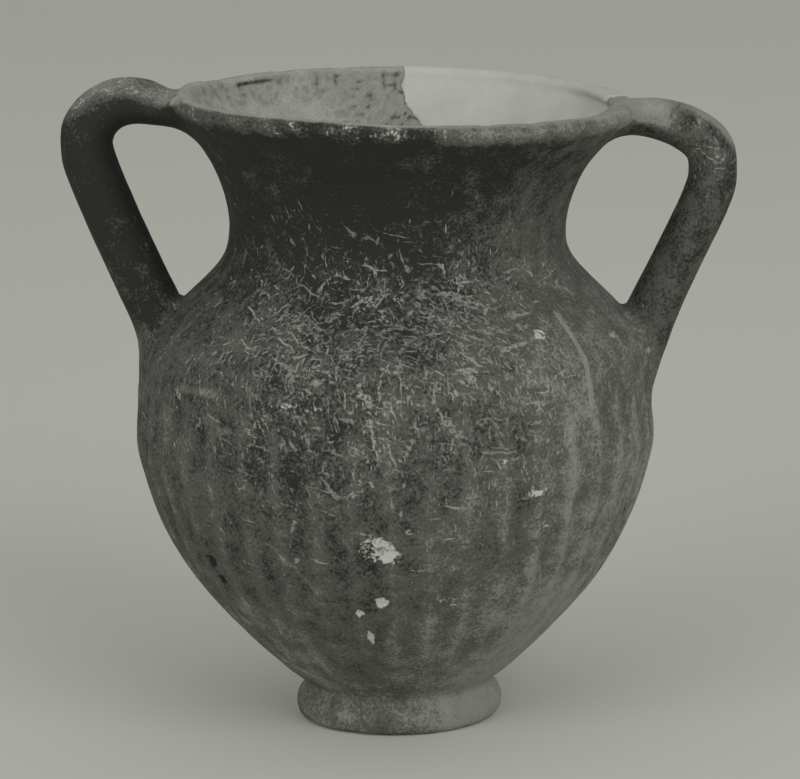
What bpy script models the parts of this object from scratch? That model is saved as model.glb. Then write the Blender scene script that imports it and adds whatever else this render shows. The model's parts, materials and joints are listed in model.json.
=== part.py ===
"""A two-handled pottery jar: ring foot, fluted egg-shaped body, flaring neck and a rolled lip.

The jar is one fired piece, with its two handles luted on. A sherd lost from the back of the mouth
was made good in plaster, and that fill is the second piece. Sizes are in millimetres until place()
turns them into metres. The origin is on the table, under the middle of the jar's outer box.
"""

import math

import bmesh
import bpy

MM = 0.001

# Driving dimensions
BODY_RADIUS = 80.0
BELLY_HEIGHT = 92.0
NECK_RADIUS = 51.8
NECK_HEIGHT = 152.0
RIM_HEIGHT = 193.0
LIP_RADIUS = 71.3
LIP_ROLL = 3.4
WALL = 5.0
FOOT_RADIUS = 32.3
WAIST_RADIUS = 29.8
WAIST_HEIGHT = 11.3
CONTACT_RADII = (26.0, 30.5)
FLUTES = 42
FLUTE_DEPTH = 0.8

# How the jar stands: where the foot lies under the box, and how far the axis wanders on the way up
FOOT_X = -3.57
BODY_SHIFT = 0.6
BODY_SHIFT_TOP = 40.0
NECK_SHIFT = 4.4
NECK_SHIFT_SPAN = (115.0, 195.0)

# The lip is lower over the right handle, and highest over the front and the back
RIM_TILT = 2.2
RIM_WAVE = 0.35
RIM_RAMP = (166.0, 191.0)

# The flutes start at the shoulder, and spread as they run down to the foot
FLUTE_SPAN = (19.0, 27.0, 104.0, 113.0)
FLUTE_FRONT = math.radians(-91.3)
FLUTE_SPREAD = math.radians(5.0)
FLUTE_SPREAD_SPAN = (30.0, 80.0)

# Outline of the outside from the waist to the lip, as (radius, height)
OUTLINE = (
    (WAIST_RADIUS, WAIST_HEIGHT),
    (37.5, 18.0),
    (49.7, 30.0),
    (62.5, 45.0),
    (72.4, 62.0),
    (78.3, 79.0),
    (BODY_RADIUS, BELLY_HEIGHT),
    (76.9, 115.0),
    (71.4, 125.5),
    (55.4, 142.0),
    (NECK_RADIUS, NECK_HEIGHT),
    (53.6, 164.0),
    (59.4, 176.0),
    (LIP_RADIUS - 1.2, RIM_HEIGHT - 4.6),
)
OUTLINE_STEPS = 2
INNER_FIRST = 2
LIP_STEPS = 4

# Underside of the foot and floor of the inside, as (radius, height)
UNDERSIDE = ((0.0, 5.5), (23.0, 4.2))
FOOT_EDGE = ((FOOT_RADIUS - 0.3, 2.0), (FOOT_RADIUS, 4.2), (31.2, 7.8))
INNER_FLOOR = ((0.0, 13.0), (16.0, 14.2), (28.0, 18.6))

# Handles: middle line as (x, height, half thickness, half width), from inside the lip to the wall.
# The half thickness lies in the plane of the handle, and the half width across it.
LEFT_HANDLE = (
    (-58.0, 189.2, 5.0, 12.5),
    (-66.5, 191.6, 6.0, 12.0),
    (-77.5, 194.0, 7.5, 10.5),
    (-85.4, 191.8, 7.9, 9.8),
    (-90.8, 185.8, 8.4, 9.5),
    (-91.4, 177.5, 8.5, 9.5),
    (-85.2, 160.0, 8.5, 9.5),
    (-76.9, 140.0, 8.5, 9.6),
    (-71.2, 126.5, 8.6, 10.0),
    (-68.9, 114.0, 8.4, 11.0),
    (-70.0, 103.0, 6.5, 9.0),
)
RIGHT_HANDLE = (
    (60.0, 187.0, 4.6, 12.5),
    (69.0, 186.0, 5.4, 12.0),
    (79.5, 185.6, 6.1, 10.5),
    (90.0, 182.6, 7.0, 9.5),
    (97.6, 177.0, 7.6, 9.2),
    (99.6, 169.5, 7.8, 9.2),
    (97.2, 160.0, 7.7, 9.2),
    (87.4, 140.0, 7.7, 9.4),
    (81.5, 128.0, 8.0, 10.0),
    (76.6, 117.0, 8.6, 11.5),
    (73.6, 107.0, 8.0, 11.5),
    (71.5, 98.0, 6.2, 9.0),
)
HANDLE_STEPS = 2
HANDLE_SIDES = 10
HANDLE_BURY = 1.2

# The lost sherd, as a block with a ragged underside: (x, y, height of the underside) of each corner,
# from the middle of the mouth. The joint around the fill stays open by JOINT_GAP.
BREAK_CORNERS = (
    (40.0, -8.0, 184.0),
    (61.0, -3.0, 185.5),
    (67.0, 4.0, 184.0),
    (71.5, 12.5, 180.0),
    (96.0, 24.0, 171.0),
    (95.0, 50.0, 159.0),
    (84.0, 66.0, 167.0),
    (66.0, 82.0, 157.0),
    (50.0, 90.0, 164.0),
    (32.0, 96.0, 161.0),
    (18.0, 97.0, 173.0),
    (8.0, 96.0, 171.0),
    (0.0, 96.0, 185.0),
    (1.5, 56.0, 186.0),
)
BREAK_HUB = (24.0, 24.0, 174.0)
BREAK_TOP = 212.0
JOINT_GAP = 0.35


def clear_scene():
    """Removes the objects that a new file starts with."""
    for obj in list(bpy.data.objects):
        bpy.data.objects.remove(obj, do_unlink=True)


def pottery(name, colour, roughness):
    """A dull, dry surface: a Principled material with no metal in it."""
    material = bpy.data.materials.new(name)
    material.use_nodes = True
    shader = material.node_tree.nodes["Principled BSDF"]
    shader.inputs["Base Color"].default_value = (*colour, 1.0)
    shader.inputs["Roughness"].default_value = roughness
    shader.inputs["Metallic"].default_value = 0.0
    return material


def ramp(value, low, high):
    """Rises smoothly from 0 at low to 1 at high."""
    t = min(max((value - low) / (high - low), 0.0), 1.0)
    return t * t * (3.0 - 2.0 * t)


def curve_through(points, steps):
    """Points of a smooth curve through the given ones, with this many steps between neighbours."""
    ends = [points[0], *points, points[-1]]
    curve = []
    for before, start, stop, after in zip(ends, ends[1:], ends[2:], ends[3:]):
        for step in range(steps):
            t = step / steps
            curve.append(
                tuple(
                    b + 0.5 * t * (c - a + t * (2 * a - 5 * b + 4 * c - d + t * (3 * (b - c) + d - a)))
                    for a, b, c, d in zip(before, start, stop, after)
                )
            )
    curve.append(points[-1])
    return curve


def offset_inward(curve, distance):
    """The curve moved towards the axis, square to itself, by this distance."""
    moved = []
    for index, (radius, height) in enumerate(curve):
        before = curve[max(index - 1, 0)]
        after = curve[min(index + 1, len(curve) - 1)]
        along = (after[0] - before[0], after[1] - before[1])
        length = math.hypot(*along)
        moved.append((radius - distance * along[1] / length, height + distance * along[0] / length))
    return moved


def lip_arc():
    """The rolled lip, as half a circle from its outer side over the top to its inner side."""
    centre_radius = LIP_RADIUS - LIP_ROLL
    centre_height = RIM_HEIGHT - LIP_ROLL
    turns = [math.pi * step / LIP_STEPS for step in range(LIP_STEPS + 1)]
    return [(centre_radius + LIP_ROLL * math.cos(t), centre_height + LIP_ROLL * math.sin(t)) for t in turns]


def axis_x(height):
    """Where the jar's middle lies at this height: the neck leans towards the right handle."""
    body = BODY_SHIFT * ramp(height, 0.0, BODY_SHIFT_TOP)
    return FOOT_X + body + NECK_SHIFT * ramp(height, *NECK_SHIFT_SPAN)


def rim_lift(angle, height):
    """How far the uneven rim lifts a point of the neck at this angle and height."""
    wave = RIM_WAVE * (1.0 - math.cos(2.0 * angle)) - RIM_TILT * math.cos(angle)
    return wave * ramp(height, *RIM_RAMP)


def flute_share(height):
    """How deep the flutes are at this height, from 0 to 1."""
    low, low_full, high_full, high = FLUTE_SPAN
    return ramp(height, low, low_full) * (1.0 - ramp(height, high_full, high))


def ring_points(radius, height, fluted):
    """One ring of the wall. Every other point of a fluted ring lies at the bottom of a flute."""
    points = []
    depth = FLUTE_DEPTH * flute_share(height) if fluted else 0.0
    spread = FLUTE_SPREAD * (1.0 - ramp(height, *FLUTE_SPREAD_SPAN))
    for column in range(2 * FLUTES):
        turn = math.pi * column / FLUTES
        angle = FLUTE_FRONT + turn + spread * math.sin(2.0 * turn)
        reach = radius - depth * (column % 2)
        x = axis_x(height) + reach * math.cos(angle)
        y = reach * math.sin(angle)
        points.append((x, y, height + rim_lift(angle, height)))
    return points


def skin_rings(bm, rings):
    """Joins neighbouring rings with faces. A ring of one point closes the surface like a cone."""
    loops = [[bm.verts.new(point) for point in ring] for ring in rings]
    for lower, upper in zip(loops, loops[1:]):
        for index in range(max(len(lower), len(upper))):
            corners = [
                lower[index % len(lower)],
                lower[(index + 1) % len(lower)],
                upper[(index + 1) % len(upper)],
                upper[index % len(upper)],
            ]
            bm.faces.new(list(dict.fromkeys(corners)))
    return loops


def place(name, bm, material):
    """Writes the millimetre shape as an object in metres, shaded smooth but for its real edges."""
    bmesh.ops.recalc_face_normals(bm, faces=bm.faces)
    bmesh.ops.scale(bm, vec=(MM, MM, MM), verts=bm.verts)
    mesh = bpy.data.meshes.new(name)
    bm.to_mesh(mesh)
    bm.free()
    mesh.materials.append(material)
    mesh.shade_smooth()
    mesh.set_sharp_from_angle(angle=math.radians(40.0))
    obj = bpy.data.objects.new(name, mesh)
    bpy.context.scene.collection.objects.link(obj)
    return obj


def as_helper(obj):
    """Marks a shape that only cuts or joins another one."""
    obj.hide_render = True
    obj.display_type = "WIRE"
    return obj


def boolean(target, operation, other):
    """Adds a Boolean modifier that cuts or joins the other object.

    The exact solver loses the wall of the jar where a handle joins it, so joins use the manifold one.
    """
    modifier = target.modifiers.new(f"{operation.lower()} {other.name}", "BOOLEAN")
    modifier.operation = operation
    modifier.object = other
    modifier.solver = "MANIFOLD" if operation == "UNION" else "EXACT"


def inner_curve():
    """The inside of the jar from the middle of its floor to the inner side of the lip."""
    wall = offset_inward(OUTLINE[:-1], WALL)[INNER_FIRST:]
    lip_side = (LIP_RADIUS - 2.0 * LIP_ROLL, RIM_HEIGHT - LIP_ROLL)
    return [*INNER_FLOOR, *wall, lip_side]


def turned_wall(name, material):
    """The whole jar without its handles: underside, foot, outside, lip and inside in one skin."""
    outside = curve_through(OUTLINE, OUTLINE_STEPS)
    contact = [(radius, 0.0) for radius in CONTACT_RADII]
    rings = [[(axis_x(0.0), 0.0, UNDERSIDE[0][1])]]
    rings += [ring_points(*point, fluted=False) for point in (*UNDERSIDE[1:], *contact, *FOOT_EDGE)]
    rings += [ring_points(*point, fluted=True) for point in outside]
    inside = [*lip_arc(), *reversed(inner_curve()[1:-1])]
    rings += [ring_points(*point, fluted=False) for point in inside]
    rings.append([(axis_x(0.0), 0.0, INNER_FLOOR[0][1])])
    bm = bmesh.new()
    skin_rings(bm, rings)
    return place(name, bm, material)


def inside_block(material):
    """The hollow of the jar as a solid, a little fatter, to trim what would poke into it."""
    rings = [[(axis_x(0.0), 0.0, INNER_FLOOR[0][1])]]
    curve = inner_curve()
    above = (curve[-1][0] + 0.5, RIM_HEIGHT + 4.0 * LIP_ROLL)
    rings += [ring_points(radius + HANDLE_BURY, height, fluted=False) for radius, height in (*curve[1:], above)]
    rings.append([(axis_x(RIM_HEIGHT), 0.0, above[1])])
    bm = bmesh.new()
    skin_rings(bm, rings)
    return as_helper(place("inside_block", bm, material))


def handle(name, path, material):
    """A handle drawn along its path as an oval roll, with flat ends inside the wall."""
    stations = curve_through(path, HANDLE_STEPS)
    rings = []
    for index, (x, height, half_thickness, half_width) in enumerate(stations):
        before = stations[max(index - 1, 0)]
        after = stations[min(index + 1, len(stations) - 1)]
        along = (after[0] - before[0], after[1] - before[1])
        length = math.hypot(*along)
        outward = (-along[1] / length, along[0] / length)
        ring = []
        for side in range(HANDLE_SIDES):
            turn = 2.0 * math.pi * (side + 0.5) / HANDLE_SIDES
            off = half_thickness * math.cos(turn)
            across = half_width * math.sin(turn)
            ring.append((FOOT_X + x + off * outward[0], across, height + off * outward[1]))
        rings.append(ring)
    bm = bmesh.new()
    loops = skin_rings(bm, rings)
    bm.faces.new(loops[0])
    bm.faces.new(loops[-1])
    return as_helper(place(name, bm, material))


def lost_sherd(name, grow, material):
    """The block of the lost sherd, made larger on every side by grow."""
    centre = axis_x(RIM_HEIGHT)
    corners = []
    for index, (x, y, underside) in enumerate(BREAK_CORNERS):
        before = BREAK_CORNERS[index - 1]
        after = BREAK_CORNERS[(index + 1) % len(BREAK_CORNERS)]
        along = (after[0] - before[0], after[1] - before[1])
        length = math.hypot(*along)
        out_x = grow * along[1] / length
        out_y = -grow * along[0] / length
        corners.append((centre + x + out_x, y + out_y, underside - grow))
    bm = bmesh.new()
    hub = (centre + BREAK_HUB[0], BREAK_HUB[1], BREAK_HUB[2] - grow)
    lid = [(x, y, BREAK_TOP) for x, y, _ in corners]
    skin_rings(bm, [[hub], corners, lid, [(hub[0], hub[1], BREAK_TOP)]])
    return as_helper(place(name, bm, material))


def main():
    clear_scene()
    clay = pottery("dark_slipped_pottery", (0.075, 0.074, 0.068), 0.85)
    plaster = pottery("repair_plaster", (0.46, 0.45, 0.41), 0.9)

    vessel = turned_wall("vessel", clay)
    trim = inside_block(clay)
    for name, path in (("left_handle", LEFT_HANDLE), ("right_handle", RIGHT_HANDLE)):
        grip = handle(name, path, clay)
        boolean(grip, "DIFFERENCE", trim)
        boolean(vessel, "UNION", grip)
    boolean(vessel, "DIFFERENCE", lost_sherd("break_in_jar", 0.0, clay))

    fill = turned_wall("plaster_fill", plaster)
    boolean(fill, "INTERSECT", lost_sherd("break_in_fill", -JOINT_GAP, plaster))


main()
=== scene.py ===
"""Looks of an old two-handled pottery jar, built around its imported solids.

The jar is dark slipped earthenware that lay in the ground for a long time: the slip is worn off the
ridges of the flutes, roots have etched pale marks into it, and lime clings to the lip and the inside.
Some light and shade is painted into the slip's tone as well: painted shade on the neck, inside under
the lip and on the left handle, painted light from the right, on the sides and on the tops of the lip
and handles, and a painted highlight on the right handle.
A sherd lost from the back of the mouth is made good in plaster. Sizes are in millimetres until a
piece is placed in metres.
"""

import json
import logging
import math
from dataclasses import dataclass
from enum import Enum
from functools import cached_property
from typing import Iterable, NamedTuple, Sequence

import bmesh
import bpy
from mathutils import Matrix, Vector, noise
from mathutils.bvhtree import BVHTree
from mathutils.kdtree import KDTree

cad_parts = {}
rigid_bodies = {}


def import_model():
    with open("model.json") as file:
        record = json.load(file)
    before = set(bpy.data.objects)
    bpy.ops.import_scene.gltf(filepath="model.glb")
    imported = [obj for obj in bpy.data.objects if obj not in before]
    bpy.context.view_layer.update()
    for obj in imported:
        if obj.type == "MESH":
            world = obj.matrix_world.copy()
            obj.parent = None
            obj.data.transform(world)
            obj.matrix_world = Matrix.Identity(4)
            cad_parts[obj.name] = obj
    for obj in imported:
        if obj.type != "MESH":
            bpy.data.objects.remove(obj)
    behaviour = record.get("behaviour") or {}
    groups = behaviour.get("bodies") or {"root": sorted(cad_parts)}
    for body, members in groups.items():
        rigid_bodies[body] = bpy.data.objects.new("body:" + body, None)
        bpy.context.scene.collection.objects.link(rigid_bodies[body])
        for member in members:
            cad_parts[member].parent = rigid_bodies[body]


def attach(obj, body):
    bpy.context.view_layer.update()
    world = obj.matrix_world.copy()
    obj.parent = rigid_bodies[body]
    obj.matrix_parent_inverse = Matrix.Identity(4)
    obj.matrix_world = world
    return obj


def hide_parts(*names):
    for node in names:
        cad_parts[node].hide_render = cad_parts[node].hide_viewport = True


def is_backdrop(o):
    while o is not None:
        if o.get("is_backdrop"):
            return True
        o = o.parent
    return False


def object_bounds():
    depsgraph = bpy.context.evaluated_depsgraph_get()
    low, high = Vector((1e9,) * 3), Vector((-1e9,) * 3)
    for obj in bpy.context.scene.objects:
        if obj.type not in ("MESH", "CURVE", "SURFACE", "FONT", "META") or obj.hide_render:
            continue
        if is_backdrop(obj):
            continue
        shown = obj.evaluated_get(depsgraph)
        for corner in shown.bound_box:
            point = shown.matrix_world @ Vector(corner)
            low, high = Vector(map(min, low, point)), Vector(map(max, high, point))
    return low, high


LOG = logging.getLogger("jar")
MM = 0.001

# Steps between neighbouring points of a drawn curve, and what a place without flutes says for its ridge
CURVE_STEPS = 8
PLAIN_RIDGE = 0.35

Curve = list[tuple[float, ...]]
Socket = bpy.types.NodeSocket


class Slot(Enum):
    """The record's material slots."""

    POTTERY = "dark_slipped_pottery"
    PLASTER = "repair_plaster"


class Node(Enum):
    """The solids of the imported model."""

    VESSEL = "vessel"
    FILL = "plaster_fill"


class Side(Enum):
    """Which of the two handles is meant."""

    LEFT = "left_handle"
    RIGHT = "right_handle"


class Seed(Enum):
    """Where the noise is read for each use of it, so that no two of them are alike."""

    SWAY = 1.0
    PITS = 2.0
    BREAK = 3.0
    LIP_WEAR = 4.0
    FOOT_WEAR = 5.0
    CHIP_EDGE = 6.0
    STREAK_EDGE = 7.0
    CRUMBS = 8.0
    SPECKS = 9.0
    LIP_BORDER = 12.0
    TONE = 15.0
    ELBOW = 17.0
    LIP_SIDE = 21.0


def ramp(value: float, low: float, high: float) -> float:
    """Rises smoothly from 0 at low to 1 at high.

    Args:
        value: where to read the ramp.
        low: the value that gives 0.
        high: the value that gives 1.

    Returns:
        The share, from 0 to 1.
    """
    t = min(max((value - low) / (high - low), 0.0), 1.0)
    return t * t * (3.0 - 2.0 * t)


def curve_through(points: Sequence[tuple[float, ...]], steps: int) -> Curve:
    """Runs a smooth curve through points of any number of coordinates.

    Args:
        points: what the curve passes through.
        steps: how many steps it takes between neighbours.

    Returns:
        The points of the curve.
    """
    ends = [points[0], *points, points[-1]]
    curve: Curve = []
    for before, start, stop, after in zip(ends, ends[1:], ends[2:], ends[3:]):
        for step in range(steps):
            t = step / steps
            curve.append(
                tuple(
                    b + 0.5 * t * (c - a + t * (2 * a - 5 * b + 4 * c - d + t * (3 * (b - c) + d - a)))
                    for a, b, c, d in zip(before, start, stop, after)
                )
            )
    curve.append(tuple(points[-1]))
    return curve


def evenly(curve: Curve, spacing: float) -> Curve:
    """Walks along a curve in even steps, measured over its first two coordinates.

    Args:
        curve: the points to walk along.
        spacing: about how long a step is.

    Returns:
        The new points, with the same ends.
    """
    lengths = [math.dist(a[:2], b[:2]) for a, b in zip(curve, curve[1:])]
    count = max(round(sum(lengths) / spacing), 1)
    walked = [curve[0]]
    index = 0
    passed = 0.0
    for step in range(1, count):
        target = sum(lengths) * step / count
        while passed + lengths[index] < target:
            passed += lengths[index]
            index += 1
        t = (target - passed) / lengths[index]
        walked.append(tuple(a + t * (b - a) for a, b in zip(curve[index], curve[index + 1])))
    walked.append(curve[-1])
    return walked


def arc_from(degrees: float, angle: float, radius: float) -> float:
    """How far along a circle an angle in radians lies from one in degrees.

    Args:
        degrees: the angle to measure from.
        angle: the angle to measure to.
        radius: the radius of the circle.

    Returns:
        The length of the arc, negative if it runs clockwise.
    """
    return math.remainder(angle - math.radians(degrees), math.tau) * radius


def rough(point: Vector, grain: float, seed: Seed) -> float:
    """Reads smooth noise at a point.

    Args:
        point: the place, in millimetres.
        grain: the size of a bump, in millimetres.
        seed: what the noise is for.

    Returns:
        A value from about -1 to 1.
    """
    x, y, z = seed.value, 1.7 * seed.value, -0.6 * seed.value
    return noise.noise(point / grain + Vector((x, y, z)))


def mesh_object(name: str, bm: bmesh.types.BMesh) -> bpy.types.Object:
    """Writes a mesh as an object in the same units, linked to the scene.

    Args:
        name: what to call the object.
        bm: the mesh, which is freed.

    Returns:
        The object.
    """
    mesh = bpy.data.meshes.new(name)
    bm.to_mesh(mesh)
    bm.free()
    made = bpy.data.objects.new(name, mesh)
    bpy.context.scene.collection.objects.link(made)
    return made


def combined(target: bpy.types.Object, others: Sequence[bpy.types.Object], operation: str) -> None:
    """Joins other objects to one, or cuts them from it, and removes them.

    Args:
        target: the object that is changed.
        others: the objects that are joined or cut.
        operation: UNION, DIFFERENCE or INTERSECT.
    """
    for other in others:
        modifier = target.modifiers.new(other.name, "BOOLEAN")
        modifier.operation = operation
        modifier.object = other
        modifier.solver = "MANIFOLD" if operation == "UNION" else "EXACT"
    bpy.context.view_layer.update()
    solid = bpy.data.meshes.new_from_object(target.evaluated_get(bpy.context.evaluated_depsgraph_get()))
    target.modifiers.clear()
    target.data = solid
    for other in others:
        bpy.data.objects.remove(other, do_unlink=True)


def linear(code: str) -> tuple[float, float, float, float]:
    """Turns an sRGB hex colour into the linear values that a shader takes.

    Args:
        code: the colour, such as "#8a8b85".

    Returns:
        Red, green, blue and an alpha of one.
    """
    parts = [int(code[place : place + 2], 16) / 255.0 for place in (1, 3, 5)]
    red, green, blue = (v / 12.92 if v <= 0.04045 else ((v + 0.055) / 1.055) ** 2.4 for v in parts)
    return (red, green, blue, 1.0)


@dataclass(frozen=True)
class Cloud:
    """Soft noise: the size of its bumps in millimetres, its finer detail, and where it is read."""

    size_mm: float
    detail: float
    seed: float = 0.0
    roughness: float = 0.62


class Brushwork:
    """Builds the patterns of one material, measured in millimetres on the piece itself."""

    def __init__(self, name: str, roughness: float, specular: float) -> None:
        """Starts a material.

        Args:
            name: what to call it.
            roughness: how matt it is, from 0 to 1.
            specular: how strong its sheen is, where 0.5 is usual.
        """
        self.material = bpy.data.materials.new(name)
        self.material.use_nodes = True
        self.tree = self.material.node_tree
        self.shader = self.tree.nodes["Principled BSDF"]
        self.shader.inputs["Roughness"].default_value = roughness
        self.shader.inputs["Specular IOR Level"].default_value = specular
        metres = self.add("TexCoord", (), "Object")
        self.place = self.add("VectorMath", {0: metres, "Scale": 1.0 / MM}, operation="SCALE")

    def add(
        self,
        kind: str,
        links: dict[str | int, object] | Sequence[object],
        output: str | int = 0,
        **settings: object,
    ) -> Socket:
        """Adds a node with its settings and links.

        Args:
            kind: the node's type, without the word that all types start with.
            links: a socket to link from, or a value to set, for each input by name or number, or
                for the first inputs in their order.
            output: the name or number of the output that is wanted.
            settings: the node's own properties.

        Returns:
            The wanted output.
        """
        made = self.tree.nodes.new(f"ShaderNode{kind}")
        for name, value in settings.items():
            setattr(made, name, value)
        for socket, value in links.items() if isinstance(links, dict) else enumerate(links):
            if isinstance(value, Socket):
                self.tree.links.new(value, made.inputs[socket])
            else:
                made.inputs[socket].default_value = value
        return made.outputs[output]

    def clouded(self, cloud: Cloud) -> Socket:
        """Lays soft noise on the piece.

        Args:
            cloud: the noise.

        Returns:
            The noise, about 0.5 on average.
        """
        moved = self.add("VectorMath", (self.place, (cloud.seed, 0.7 * cloud.seed, -cloud.seed)))
        size = {"Vector": moved, "Scale": 1.0 / cloud.size_mm}
        return self.add("TexNoise", size | {"Detail": cloud.detail, "Roughness": cloud.roughness})

    def wandered(self, size: float, reach: float) -> Socket:
        """Pushes the place on the piece about, so that straight lines bend.

        Args:
            size: how long a bend is, in millimetres.
            reach: twice how far it goes at most.

        Returns:
            The bent place.
        """
        drift = self.add("TexNoise", {"Vector": self.place, "Scale": 1.0 / size, "Detail": 1.0}, "Color")
        centred = self.add("VectorMath", (drift, (0.5, 0.5, 0.5)), operation="SUBTRACT")
        spread = self.add("VectorMath", {0: centred, "Scale": reach}, operation="SCALE")
        return self.add("VectorMath", (self.place, spread))

    def sheets(self, lean: Sequence[float], length: float, thickness: float, place: Socket) -> Socket:
        """Soft thin sheets that lie one way through the piece, which its surface cuts as short lines.

        Args:
            lean: how the sheets are turned about X and Y.
            length: how long and wide a sheet is, in millimetres.
            thickness: how thick it is.
            place: the place on the piece, or a bent one.

        Returns:
            The sheets, about 0.5 on average and highest in their middle.
        """
        laid = {"Vector": place, "Rotation": (*lean, 0.0), "Scale": (length, length, thickness)}
        turned = self.add("Mapping", laid, vector_type="TEXTURE")
        return self.add("TexNoise", {"Vector": turned, "Scale": 1.0, "Detail": 0.0})

    def branches(self, size: float, place: Socket) -> Socket:
        """Ridges that branch and cross like fine roots, over 1 on a ridge.

        Args:
            size: how far apart the widest ridges run, in millimetres.
            place: the place on the piece, or a bent one.

        Returns:
            The ridges.
        """
        size_and_place = {"Vector": place, "Scale": 1.0 / size}
        ridges = {"Detail": 2.0, "Roughness": 0.7, "Lacunarity": 2.3, "Offset": 1.0, "Gain": 2.0}
        settings = {"noise_type": "RIDGED_MULTIFRACTAL", "normalize": False}
        return self.add("TexNoise", size_and_place | ridges, **settings)

    def lines(self, pattern: Socket, edge: tuple[float, float], dense: Socket, growth: float) -> Socket:
        """Turns the crests of a pattern into lines.

        Args:
            pattern: the pattern.
            edge: the values at which a line starts and is full.
            dense: where the lines are dense, from 0 to 1.
            growth: how far the pattern rises where they are.

        Returns:
            The lines, from 0 to 1.
        """
        risen = self.add("Math", (dense, growth, pattern), operation="MULTIPLY_ADD")
        return self.add("MapRange", (risen, *edge), interpolation_type="SMOOTHSTEP")

    def weighed(self, start: object, parts: Iterable[tuple[Socket, float, float]]) -> Socket:
        """Adds patterns to a value.

        Args:
            start: the value.
            parts: each pattern, with the middle that it is measured from and its weight.

        Returns:
            The sum.
        """
        total = start
        for pattern, middle, weight in parts:
            apart = self.add("Math", (pattern, middle), operation="SUBTRACT")
            total = self.add("Math", (apart, weight, total), operation="MULTIPLY_ADD")
        return total

    def coated(self, ground: str, tone: Socket, coats: Iterable[tuple[float, float, str]]) -> Socket:
        """Lays colours over one another as a tone rises.

        Args:
            ground: the lowest colour.
            tone: what decides how far each coat covers.
            coats: for each coat the tones at which it starts and is full, and its colour.

        Returns:
            The colour.
        """
        colour: object = linear(ground)
        for low, high, coat in coats:
            share = self.add("MapRange", (tone, low, high), interpolation_type="SMOOTHSTEP")
            colour = self.add("Mix", {0: share, 6: colour, 7: linear(coat)}, 2, data_type="RGBA")
        return colour

    def finish(self, colour: Socket, height: Socket, depth: float) -> bpy.types.Material:
        """Connects the colour and the relief, and hands the material over.

        Args:
            colour: the colour.
            height: the pattern of the relief.
            depth: how deep the relief is, in millimetres.

        Returns:
            The material.
        """
        bump = self.add("Bump", {"Height": height, "Distance": depth * MM})
        self.tree.links.new(colour, self.shader.inputs["Base Color"])
        self.tree.links.new(bump, self.shader.inputs["Normal"])
        return self.material


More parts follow.
